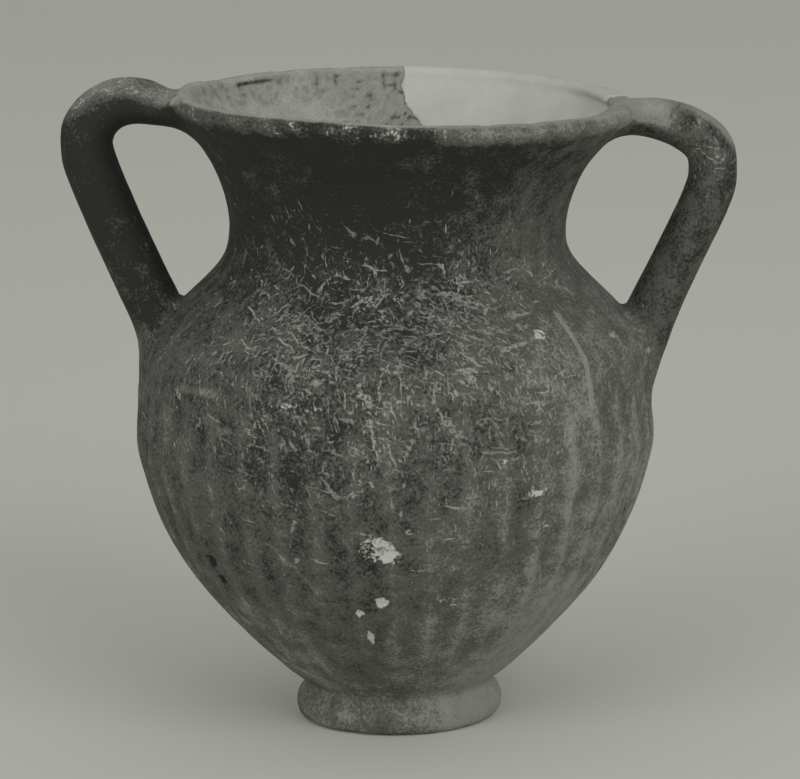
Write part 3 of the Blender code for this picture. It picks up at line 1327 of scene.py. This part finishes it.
# A streak fades out between these shares of its width, and its ragged ends stay within the reach
STREAK_BORDER = (0.3, 0.8)
STREAK_RAGGED = 0.5
STREAK_GRAIN = 2.0
STREAK_REACH = 4.0
STREAKS = (
    Streak(places=((-40.8, 133.0), (-40.6, 121.0), (-41.2, 107.0)), width=1.9, pale=0.42, lime=0.12),
    Streak(places=((-120.0, 112.0), (-112.0, 112.6), (-105.0, 111.6)), width=2.2, lime=0.5),
    Streak(places=((-120.5, 69.5), (-115.4, 62.0), (-110.9, 54.0)), width=1.1, pale=0.3),
    Streak(places=((-103.6, 76.2), (-100.3, 69.1)), width=1.0, pale=0.28),
    Streak(places=((-80.5, 52.0), (-75.5, 50.5)), width=3.0, lime=0.4),
    Streak(places=((-67.0, 96.0), (-61.5, 92.0), (-58.0, 84.0)), width=1.8, lime=0.4),
    Streak(places=((34.0, 118.0), (47.0, 109.0), (52.0, 97.0)), width=2.2, pale=0.4),
    Streak(places=((118.0, 88.0), (125.0, 80.0), (127.0, 66.0)), width=2.0, lime=0.5),
    Streak(places=((154.0, 127.0), (163.0, 121.0)), width=2.6, lime=0.5),
)


@dataclass(frozen=True)
class Wear:
    """What use and burial did to the surface, as small moves of the mesh in millimetres."""

    sway: float = 0.3
    sway_grain: float = 34.0
    pitting: float = 0.16
    pit_grain: float = 3.2
    lip_heights: tuple[float, float] = (186.0, 189.0)
    lip_wear: float = 0.55
    lip_grain: float = 7.0
    foot_heights: tuple[float, float] = (7.0, 11.0)
    foot_wear: float = 0.5

    def sink(self, point: Vector, lip: float, foot: float) -> float:
        """How far a point has gone back along its normal.

        Args:
            point: where it is.
            lip: how much of the lip it is, from 0 to 1.
            foot: how much of the foot it is, from 0 to 1.

        Returns:
            The depth, never negative.
        """
        sway = self.sway * (0.5 + 0.5 * rough(point, self.sway_grain, Seed.SWAY))
        pits = self.pitting * (0.5 + 0.5 * rough(point, self.pit_grain, Seed.PITS))
        edge = lip * self.lip_wear * max(rough(point, self.lip_grain, Seed.LIP_WEAR), 0.0)
        base = foot * self.foot_wear * max(rough(point, self.lip_grain, Seed.FOOT_WEAR), 0.0)
        return sway + pits + edge + base


def surface_of(item: bpy.types.Object) -> BVHTree:
    """A tree that finds the nearest place on an object's surface."""
    return BVHTree.FromPolygons(
        [vert.co.copy() for vert in item.data.vertices],
        [tuple(face.vertices) for face in item.data.polygons],
    )


def gap_to(surface: BVHTree, point: Vector) -> float:
    """How far a point is outside a closed surface, or inside it if negative."""
    place, normal, _, away = surface.find_nearest(point)
    return math.copysign(away, (point - place).dot(normal))


def drop_fins(item: bpy.types.Object) -> None:
    """Deletes faces that lie back to back on the same corners, which merging points can leave.

    Args:
        item: the object whose mesh is cleaned.
    """
    bm = bmesh.new()
    bm.from_mesh(item.data)
    seen: dict[frozenset[bmesh.types.BMVert], bmesh.types.BMFace] = {}
    fins = []
    for face in bm.faces:
        corners = frozenset(face.verts)
        if corners in seen:
            fins += [face, seen[corners]]
        seen[corners] = face
    bmesh.ops.delete(bm, geom=fins, context="FACES")
    bm.to_mesh(item.data)
    bm.free()


def refine(bm: bmesh.types.BMesh, form: JarForm) -> None:
    """Cuts the edges round each chip and streak in three, so that its outline can be ragged.

    Args:
        bm: the jar, in millimetres.
        form: the jar's shape.
    """
    margin, foot, shoulder = 2.5, 25.0, 140.0
    close = set()
    for vert in bm.verts:
        angle, radius = form.seat_of(vert.co)
        height = vert.co.z
        if radius < foot or height > shoulder:
            continue
        chipped = any(chip.away(angle, height, radius, margin) < 1.0 for chip in CHIPS)
        if chipped or any(streak.share(angle, height, radius, -margin) > 0.0 for streak in STREAKS):
            close.add(vert)
    edges = [edge for edge in bm.edges if close.issuperset(edge.verts)]
    bmesh.ops.subdivide_edges(bm, edges=edges, cuts=2, use_grid_fill=True)


class Marks(NamedTuple):
    """How pale, rooted, limed and ridged a place on the jar is, each about 0 to 1: pale holds wear and
    painted light and shade.
    """

    pale: float = 0.0
    roots: float = 0.0
    lime: float = 0.0
    ridge: float = 0.0

    def plus(self, other: "Marks", share: float) -> "Marks":
        """These marks with a share of others added."""
        return Marks(*(own + added * share for own, added in zip(self, other)))

    def blended(self, other: "Marks", share: float) -> "Marks":
        """These marks, gone a share of the way to others."""
        return Marks(*(own + (aim - own) * share for own, aim in zip(self, other)))


@dataclass(frozen=True)
class Patina:
    """Where the jar is worn, rooted and limed, and where light and shade are painted into its tone, which
    its material reads point by point.
    """

    form: JarForm

    # The outside pales from left to right and towards both sides, as painted light from the right and
    # painted rim light on the sides, along bands that sway
    painted_light_from_right: float = 0.36
    painted_rim_light: float = 0.19
    fewer_roots: float = 0.4
    sway: float = 5.0
    sway_grain: float = 24.0

    # The inside is dusty, with sooty specks by the break, and painted shade under the back of the lip and in
    # a dark crack there
    foot_top: float = 9.0
    inside_dust: Marks = Marks(pale=1.62, lime=0.12, ridge=PLAIN_RIDGE)
    soot_and_shade: Marks = Marks(pale=-0.3)
    soot_specks: Marks = Marks(pale=-0.75)
    painted_crack_shade: Marks = Marks(pale=-1.4)
    break_angle: float = 94.0
    speck_grain: float = 1.9
    crack_angle: float = 136.0
    crack_level: float = 190.3

    # The lip is pale on its crest and inner side, worn and limed there and partly painted top light, dark
    # outside on the left, grainy grey on the right
    lip_outside: Marks = Marks(pale=0.16, roots=0.1, lime=0.27, ridge=PLAIN_RIDGE)
    lip_left_end: Marks = Marks(pale=0.3)
    lip_right: Marks = Marks(pale=0.6, lime=-0.15)
    lip_at_grip: Marks = Marks(pale=0.35)
    lip_worn_and_toplit: Marks = Marks(pale=1.45, lime=0.2, ridge=PLAIN_RIDGE)
    lip_bare_right: Marks = Marks(pale=-0.15)
    lip_sway: float = 0.9
    lip_grain: float = 2.5
    lip_start: tuple[float, float] = (186.4, 188.4)
    lip_start_inside: tuple[float, float] = (190.9, 192.3)

    # The left handle is dark as painted shade, with a limed top paled by painted top light; the right one is
    # pale above as painted light over a shaded underside, with a painted highlight on its elbow, and rooted
    # at its elbow
    left_plain_shaded: Marks = Marks(pale=-0.1, ridge=PLAIN_RIDGE)
    left_leg: Marks = Marks(pale=0.16)
    left_top_limed_and_lit: Marks = Marks(pale=0.9, roots=0.2, lime=0.36)
    right_plain_lit: Marks = Marks(pale=0.32, roots=0.2, ridge=PLAIN_RIDGE)
    right_painted_light: Marks = Marks(pale=0.68)
    right_top_limed_and_lit: Marks = Marks(pale=0.38, lime=0.1)
    right_painted_highlight: Marks = Marks(pale=0.85)
    right_elbow: Marks = Marks(roots=0.4)

    # Where handles can be, and how their marks pass into those of the wall
    handle_low: float = 95.0
    handle_reach: tuple[float, float] = (60.0, 16.0)
    handle_skin: float = 1.2
    root_apart: tuple[float, float] = (1.0, 8.0)
    root_heights: tuple[float, float] = (140.0, 155.0)

    def at(self, point: Vector, normal: Vector, grips: dict[Side, BVHTree]) -> Marks:
        """Reads the marks of a point of the jar.

        Args:
            point: its place, in millimetres.
            normal: which way the surface faces there.
            grips: the surface of the left and of the right handle.

        Returns:
            The marks.
        """
        form = self.form
        angle, radius = form.seat_of(point)
        level = point.z - form.rim_lift(angle, point.z)
        nearest, half_width = self.handle_reach
        beside = point.z > self.handle_low and abs(point.y) < half_width and radius > nearest
        if beside and (radius > form.crest or point.z < form.lip_zone[1]):
            for side, grip in grips.items():
                if abs(gap_to(grip, point)) < self.handle_skin:
                    apart = ramp(radius - form.wall_radius(point.z), *self.root_apart)
                    apart = max(apart, ramp(point.z, *self.root_heights))
                    held = self.on_handle(point, normal, side)
                    return self.on_outside(point, angle, radius, level).blended(held, apart)
        rim = self.on_lip(point, angle, radius, normal)
        if radius <= form.wall_radius(level) - 0.5 * form.wall and point.z >= self.foot_top:
            return self.on_inside(point, angle, level).blended(rim, ramp(level, *self.lip_start_inside))
        border = level + self.lip_sway * rough(point, self.lip_grain, Seed.LIP_BORDER)
        share = ramp(border, *self.lip_start)
        at_grip = ramp(math.cos(angle), 0.92, 0.97) * ramp(normal.z, -0.4, 0.0)
        share = max(share, at_grip * ramp(point.z, 180.0, 183.0))
        return self.on_outside(point, angle, radius, level).blended(rim, share)

    def on_outside(self, point: Vector, angle: float, radius: float, level: float) -> Marks:
        """Reads the marks of the neck, the body and the foot, with their chips and streaks.

        Args:
            point: the place, in millimetres.
            angle: its angle round the axis.
            radius: how far it is from the axis.
            level: its height on the jar before the lip was tilted.

        Returns:
            The marks.
        """
        level += self.sway * rough(point, self.sway_grain, Seed.TONE)
        # Painted light: paler towards the right, where the light comes from, and towards both sides as
        # painted rim light
        rightward = ramp(math.cos(angle), -0.9, 0.9) - 0.5
        sideward = abs(math.cos(angle))
        pale = TONE_AND_NECK_SHADE_BY_HEIGHT.read(level) + self.painted_light_from_right * rightward
        pale += self.painted_rim_light * ramp(sideward, 0.25, 0.8)
        roots = ROOTS_BY_HEIGHT.read(level) * (1.0 - self.fewer_roots * ramp(sideward, 0.4, 0.85))
        fluted = self.form.flute_share(point.z)
        arris = 1.0 - self.form.groove(self.form.turn_of(angle, point.z))
        marks = Marks(pale, roots, 0.0, PLAIN_RIDGE * (1.0 - fluted) + fluted * arris)
        for chip in CHIPS:
            if abs(point.z - chip.height) < CHIP_REACH:
                crust = Marks(pale=min(chip.pale, 0.0), lime=max(chip.pale, 0.0))
                marks = marks.plus(crust, chip.share(point, angle, radius))
        for streak in STREAKS:
            if streak.places[0][1] + STREAK_REACH > point.z > streak.places[-1][1] - STREAK_REACH:
                ragged = STREAK_RAGGED * rough(point, STREAK_GRAIN, Seed.STREAK_EDGE)
                share = streak.share(angle, point.z, radius, ragged)
                marks = marks.plus(Marks(pale=streak.pale, lime=streak.lime), share)
        return marks

    def on_inside(self, point: Vector, angle: float, level: float) -> Marks:
        """Reads the marks of the inside.

        Args:
            point: the place, in millimetres.
            angle: its angle round the axis.
            level: its height on the jar before the lip was tilted.

        Returns:
            The marks.
        """
        beside_break = 1.0 - ramp(abs(math.degrees(angle) - self.break_angle), 5.0, 26.0)
        beside_break *= ramp(level, 160.0, 172.0)
        # Painted shade under the back of the lip, taken together with the soot by the break
        under_lip = ramp(level, 181.0, 188.0) * ramp(math.sin(angle), -0.2, 0.4)
        soot_and_shade_share = max(beside_break, 0.75 * under_lip)
        specks = ramp(rough(point, self.speck_grain, Seed.SPECKS), 0.1, 0.4)
        # Painted shade in a dark crack under the inner side of the lip
        painted_crack_shade = 1.0 - ramp(abs(math.degrees(angle) - self.crack_angle), 6.0, 8.5)
        painted_crack_shade *= 1.0 - ramp(abs(level - self.crack_level), 0.2, 0.8)
        marks = self.inside_dust.plus(self.soot_and_shade, soot_and_shade_share).plus(self.soot_specks, specks * soot_and_shade_share)
        return marks.plus(self.painted_crack_shade, painted_crack_shade)

    def on_lip(self, point: Vector, angle: float, radius: float, normal: Vector) -> Marks:
        """Reads the marks of the lip.

        Args:
            point: the place, in millimetres.
            angle: its angle round the axis.
            radius: how far it is from the axis.
            normal: which way the surface faces there.

        Returns:
            The marks.
        """
        cosine = math.cos(angle)
        right = ramp(cosine + 0.12 * rough(point, 5.0, Seed.LIP_SIDE), 0.1, 0.24)
        at_grip = ramp(cosine, 0.9, 0.97)
        left_end = ramp(-cosine, 0.35, 0.75)
        outer = self.lip_outside.plus(self.lip_left_end, left_end)
        outer = outer.plus(self.lip_right, right).plus(self.lip_at_grip, at_grip)
        # Faces that look up, the inner side, and the top by the left handle take the worn and limed crest,
        # which is partly painted top light
        upward = ramp(normal.z, 0.75, 0.97)
        inward = ramp(self.form.crest - radius, -0.2, 0.8)
        by_left_grip = ramp(-cosine, 0.94, 0.985) * ramp(normal.z, 0.0, 0.5)
        inner = self.lip_worn_and_toplit.plus(self.lip_bare_right, right)
        return outer.blended(inner, max(upward, inward, by_left_grip))

    def on_handle(self, point: Vector, normal: Vector, side: Side) -> Marks:
        """Reads the marks of a handle.

        Args:
            point: the place, in millimetres.
            normal: which way the surface faces there.
            side: which handle it is.

        Returns:
            The marks.
        """
        if side is Side.LEFT:
            # Painted shade darkens the whole left handle; painted top light, with lime and roots, pales its
            # upward faces at the top
            leg = 1.0 - ramp(point.z, 120.0, 165.0)
            top = ramp(normal.z, 0.1, 0.8) * ramp(point.z, 185.0, 192.0)
            return self.left_plain_shaded.plus(self.left_leg, leg).plus(self.left_top_limed_and_lit, top)
        elbow = ramp(point.x + 1.5 * rough(point, 4.0, Seed.ELBOW), 79.0, 87.0)
        high = ramp(point.z, 172.0, 180.0) * (1.0 - elbow)
        # Painted light pales all but the underside, which stays dark as painted shade, and painted top light
        # with a little lime pales the upward faces more
        face = ramp(normal.z, -0.5, -0.1) * high
        top = ramp(normal.z, 0.35, 0.85) * high
        # Painted highlight on the elbow's outer curve, where it faces up and to the right
        rim = ramp(0.7 * normal.x + 0.7 * normal.z, 0.72, 0.95) * ramp(point.z, 150.0, 168.0) * elbow
        rooted = ramp(point.z, 146.0, 166.0) * ramp(point.x, 74.0, 84.0) * (1.0 - rim)
        marks = self.right_plain_lit.plus(self.right_painted_light, face).plus(self.right_top_limed_and_lit, top)
        return marks.plus(self.right_painted_highlight, rim).plus(self.right_elbow, rooted)


@dataclass(frozen=True)
class Jar:
    """The fired jar: turned wall, two handles luted on, and the gap that the lost sherd left."""

    form: JarForm
    handles: dict[Side, Handle]
    lost: MouthBreak
    wear: Wear
    patina: Patina
    luting: float = 2.0
    lip_luting: float = 6.0
    root_luting: float = 5.0
    root_zone: tuple[float, float] = (114.0, 126.0)
    smear: float = 3.0
    smear_height: float = 0.25
    smear_depth: float = 1.5
    crest_depth: float = 5.0
    crest_width: float = 3.0
    upturned: tuple[float, float] = (0.2, 0.7)
    seam_steps: tuple[float, ...] = (3.4, 3.4, 3.4, 2.8, 2.8, 2.8, 2.0, 2.0, 1.4)
    seam_low: float = 80.0
    seam_half_width: float = 20.0
    touching: float = 0.02
    sliver: float = 0.3
    trim_columns: int = 112
    bury: float = 1.2
    chip_skin: float = 1.5
    worn_flat: float = 0.25

    def reach_at(self, height: float) -> float:
        """How far the smeared clay of a join reaches: further at the lip and the root than between."""
        reach = self.luting + (self.lip_luting - self.luting) * ramp(height, *self.form.lip_zone)
        return reach + (self.root_luting - self.luting) * (1.0 - ramp(height, *self.root_zone))

    def swollen(self, target: bpy.types.Object, surface: BVHTree, is_wall: bool) -> None:
        """Moves the surface out near another piece, as clay smeared over the join.

        Args:
            target: the object whose mesh moves.
            surface: the other piece.
            is_wall: whether the target is the wall, whose inside stays still.
        """
        form = self.form
        normals = [vert.normal.copy() for vert in target.data.vertices]
        for vert, normal in zip(target.data.vertices, normals):
            if vert.co.z < self.seam_low:
                continue
            gap = gap_to(surface, vert.co)
            reach = self.reach_at(vert.co.z)
            if abs(gap) > reach:
                continue
            _, radius = form.seat_of(vert.co)
            if not is_wall:
                share = ramp(gap, -self.smear_depth, 0.0)
            elif vert.co.z > form.rim_height - self.crest_depth:
                share = ramp(radius, form.crest - self.crest_width, form.crest)
            else:
                share = 0.0 if radius < form.wall_radius(vert.co.z) - 0.6 * form.wall else 1.0
            if vert.co.z > form.lip_zone[1]:
                share *= 1.0 - ramp(normal.z, *self.upturned)
            vert.co += share * self.smear_height * reach * (1.0 - abs(gap) / reach) ** 2 * normal

    def smoothed_seams(self, jar: bpy.types.Object, wall: BVHTree, grips: Sequence[BVHTree]) -> None:
        """Rounds the edge that is left where wall and handles meet.

        Args:
            jar: the joined jar.
            wall: the surface of the wall, before it was joined.
            grips: the surface of each handle, before it was joined.
        """
        bm = bmesh.new()
        bm.from_mesh(jar.data)
        seams = []
        for vert in bm.verts:
            if vert.co.z < self.seam_low or abs(vert.co.y) > self.seam_half_width:
                continue
            on_grip = any(abs(gap_to(grip, vert.co)) < self.touching for grip in grips)
            if on_grip and abs(gap_to(wall, vert.co)) < self.touching:
                seams.append(vert.co.copy())
        LOG.info("%d points lie on the seams of the handles", len(seams))
        tree = KDTree(len(seams))
        for index, place in enumerate(seams):
            tree.insert(place, index)
        tree.balance()
        near = {vert: tree.find(vert.co)[2] for vert in bm.verts if vert.co.z > self.seam_low}
        close = [vert for vert, away in near.items() if away < 3.0 * self.sliver]
        bmesh.ops.remove_doubles(bm, verts=close, dist=self.sliver)
        axes = {"use_axis_x": True, "use_axis_y": True, "use_axis_z": True}
        for step in self.seam_steps:
            verts = [
                vert
                for vert, away in near.items()
                if vert.is_valid and away < step * self.reach_at(vert.co.z) / self.smear
            ]
            bmesh.ops.smooth_vert(bm, verts=verts, factor=0.5, **axes)
        refine(bm, self.form)
        bm.to_mesh(jar.data)
        bm.free()

    def worn(self, jar: bpy.types.Object) -> None:
        """Sinks the surface where it is pitted, worn or chipped, and rubs the foot's ring flat.

        Args:
            jar: the joined jar, whose mesh moves.
        """
        mesh = jar.data
        normals = [vert.normal.copy() for vert in mesh.vertices]
        for vert, normal in zip(mesh.vertices, normals):
            point = vert.co
            angle, radius = self.form.seat_of(point)
            lip = ramp(point.z - self.form.rim_lift(angle, point.z), *self.wear.lip_heights)
            foot = 1.0 - ramp(point.z, *self.wear.foot_heights)
            depth = self.wear.sink(point, lip, foot)
            if radius > self.form.wall_radius(point.z) - self.chip_skin:
                near = (chip for chip in CHIPS if abs(point.z - chip.height) < CHIP_REACH)
                depth += sum(chip.depth * chip.share(point, angle, radius) for chip in near)
            vert.co = point - depth * normal
            if vert.co.z < self.worn_flat:
                vert.co.z = 0.0
        mesh.update()

    def mark(self, jar: bpy.types.Object, grips: dict[Side, BVHTree]) -> None:
        """Writes the patina's marks on each point.

        Args:
            jar: the finished mesh, in millimetres.
            grips: the surface of the left and of the right handle.
        """
        marks = [self.patina.at(vert.co, vert.normal, grips) for vert in jar.data.vertices]
        for name, values in zip(Marks._fields, zip(*marks)):
            jar.data.attributes.new(name, "FLOAT", "POINT").data.foreach_set("value", values)

    def build(self) -> bpy.types.Object:
        """Makes the jar in millimetres.

        Returns:
            The object, still unplaced.
        """
        wall = WallSkin(self.form).whole("jar")
        trim = WallSkin(self.form, columns=self.trim_columns)
        grips = {side: handle.made(self.form) for side, handle in self.handles.items()}
        plain_wall = surface_of(wall)
        for grip in grips.values():
            self.swollen(wall, surface_of(grip), True)
        for grip in grips.values():
            self.swollen(grip, plain_wall, False)
            combined(grip, [trim.plug("trim", self.bury)], "DIFFERENCE")
        surfaces = {side: surface_of(grip) for side, grip in grips.items()}
        swollen_wall = surface_of(wall)
        combined(wall, list(grips.values()), "UNION")
        self.smoothed_seams(wall, swollen_wall, list(surfaces.values()))
        self.worn(wall)
        combined(wall, [self.lost.block("break", self.form, 0.0)], "DIFFERENCE")
        drop_fins(wall)
        self.mark(wall, surfaces)
        return wall


@dataclass(frozen=True)
class PlasterFill:
    """The plaster that makes good the mouth: a plain band of wall cut to the break, a hair short of it."""

    form: JarForm
    lost: MouthBreak
    columns: int = 240
    outer_step: float = 2.0
    low: float = 150.0
    joint: float = 0.1

    def build(self) -> bpy.types.Object:
        """Makes the fill in millimetres.

        Returns:
            The object, still unplaced.
        """
        skin = WallSkin(self.form, columns=self.columns, outer_step=self.outer_step)
        fill = skin.band("fill", self.low)
        combined(fill, [self.lost.block("fill_border", self.form, self.joint)], "INTERSECT")
        return fill


@dataclass(frozen=True)
class Lamp:
    """A large soft lamp: its place, size and the height that it aims at in metres, its power in watts."""

    name: str
    place: tuple[float, float, float]
    size: float
    power: float
    aim: float = 0.1

    def build(self) -> None:
        """Hangs the lamp and turns it to the jar."""
        lamp = bpy.data.lights.new(self.name, "AREA")
        lamp.shape = "DISK"
        lamp.size = self.size
        lamp.energy = self.power
        light = bpy.data.objects.new(self.name, lamp)
        light.location = self.place
        to_jar = Vector((0.0, 0.0, self.aim)) - light.location
        light.rotation_euler = to_jar.to_track_quat("-Z", "Y").to_euler()
        bpy.context.scene.collection.objects.link(light)


@dataclass(frozen=True)
class Studio:
    """Pale floor, soft light and the camera of the photograph, in metres."""

    camera_down: float = math.radians(11.8)
    camera_roll: float = math.radians(1.2)
    camera_distance: float = 1.3986
    camera_target: tuple[float, float, float] = (-0.00122, 0.0, 0.10227)
    sensor: float = 36.0
    lens: float = 203.85
    far: float = 50.0
    floor_size: float = 12.0
    lamps: tuple[Lamp, ...] = (
        Lamp("key", (1.5, -2.2, 1.4), 2.2, 27.0),
        Lamp("fill", (-1.8, -2.1, 1.2), 2.2, 23.0),
    )
    room: tuple[float, float, float, float] = (0.6, 0.605, 0.58, 1.0)
    room_strength: float = 0.68

    def build(self) -> None:
        """Sets up the camera, the floor and the lights."""
        self.aim_camera()
        self.lay_floor()
        for lamp in self.lamps:
            lamp.build()
        world = bpy.data.worlds.new("room")
        world.use_nodes = True
        backdrop = world.node_tree.nodes["Background"]
        backdrop.inputs["Color"].default_value = self.room
        backdrop.inputs["Strength"].default_value = self.room_strength
        bpy.context.scene.world = world
        bpy.context.scene.view_settings.view_transform = "Standard"

    def aim_camera(self) -> None:
        """Places the camera a little above the jar, turned slightly about its own axis."""
        lens = bpy.data.cameras.new("camera")
        lens.sensor_width = self.sensor
        lens.lens = self.lens
        lens.clip_end = self.far
        camera = bpy.data.objects.new("camera", lens)
        back = Vector((0.0, -math.cos(self.camera_down), math.sin(self.camera_down)))
        level = Vector((1.0, 0.0, 0.0))
        upward = back.cross(level)
        right = math.cos(self.camera_roll) * level - math.sin(self.camera_roll) * upward
        top = math.sin(self.camera_roll) * level + math.cos(self.camera_roll) * upward
        place = Matrix((right, top, back)).transposed().to_4x4()
        place.translation = Vector(self.camera_target) + self.camera_distance * back
        camera.matrix_world = place
        bpy.context.scene.collection.objects.link(camera)
        bpy.context.scene.camera = camera

    def lay_floor(self) -> None:
        """Lays the pale floor under the foot."""
        bm = bmesh.new()
        bmesh.ops.create_grid(bm, x_segments=1, y_segments=1, size=0.5 * self.floor_size)
        floor = mesh_object("floor", bm)
        floor.data.materials.append(PaleFloor().dressed())
        floor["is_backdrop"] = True


def eased(value: float, limit: float) -> float:
    """Presses a value that comes within a millimetre of a limit smoothly back below it.

    Args:
        value: the value, in metres.
        limit: how large it may be, with either sign.

    Returns:
        The value, or a slightly smaller one.
    """
    over = abs(value) - (limit - MM)
    return value if over <= 0.0 else math.copysign(limit - MM * math.exp(-over / MM), value)


def place(
    piece: bpy.types.Object,
    finish: bpy.types.Material,
    node: Node,
    slot: Slot,
    box: tuple[Vector, Vector],
) -> None:
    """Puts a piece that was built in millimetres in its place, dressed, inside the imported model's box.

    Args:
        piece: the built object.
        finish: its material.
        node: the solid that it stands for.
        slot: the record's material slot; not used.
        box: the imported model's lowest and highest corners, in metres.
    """
    mesh = piece.data
    mesh.transform(Matrix.Scale(MM, 4))
    low, high = box
    limits = (min(high.x, -low.x), min(high.y, -low.y), high.z)
    for vert in mesh.vertices:
        vert.co = [eased(value, limit) for value, limit in zip(vert.co, limits)]
    for face in mesh.polygons:
        face.use_smooth = True
    mesh.materials.clear()
    mesh.materials.append(finish)
    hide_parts(node.value)
    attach(piece, "root")
    triangles = sum(len(face.vertices) - 2 for face in mesh.polygons)
    LOG.info("%s stands for %s: %d triangles in %s", piece.name, node.value, triangles, finish.name)


def main() -> None:
    """Builds the pieces in order and reports each."""
    for item in list(bpy.data.objects):
        bpy.data.objects.remove(item, do_unlink=True)
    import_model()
    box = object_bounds()
    form = JarForm()
    lost = MouthBreak()
    handles = {Side.LEFT: LEFT_HANDLE, Side.RIGHT: RIGHT_HANDLE}
    jar = Jar(form, handles, lost, Wear(), Patina(form)).build()
    place(jar, SlippedPottery().dressed(), Node.VESSEL, Slot.POTTERY, box)
    fill = PlasterFill(form, lost).build()
    place(fill, RepairPlaster().dressed(), Node.FILL, Slot.PLASTER, box)
    Studio().build()


if __name__ == "__main__":
    logging.basicConfig(level=logging.INFO, format="%(name)s: %(message)s")
    main()
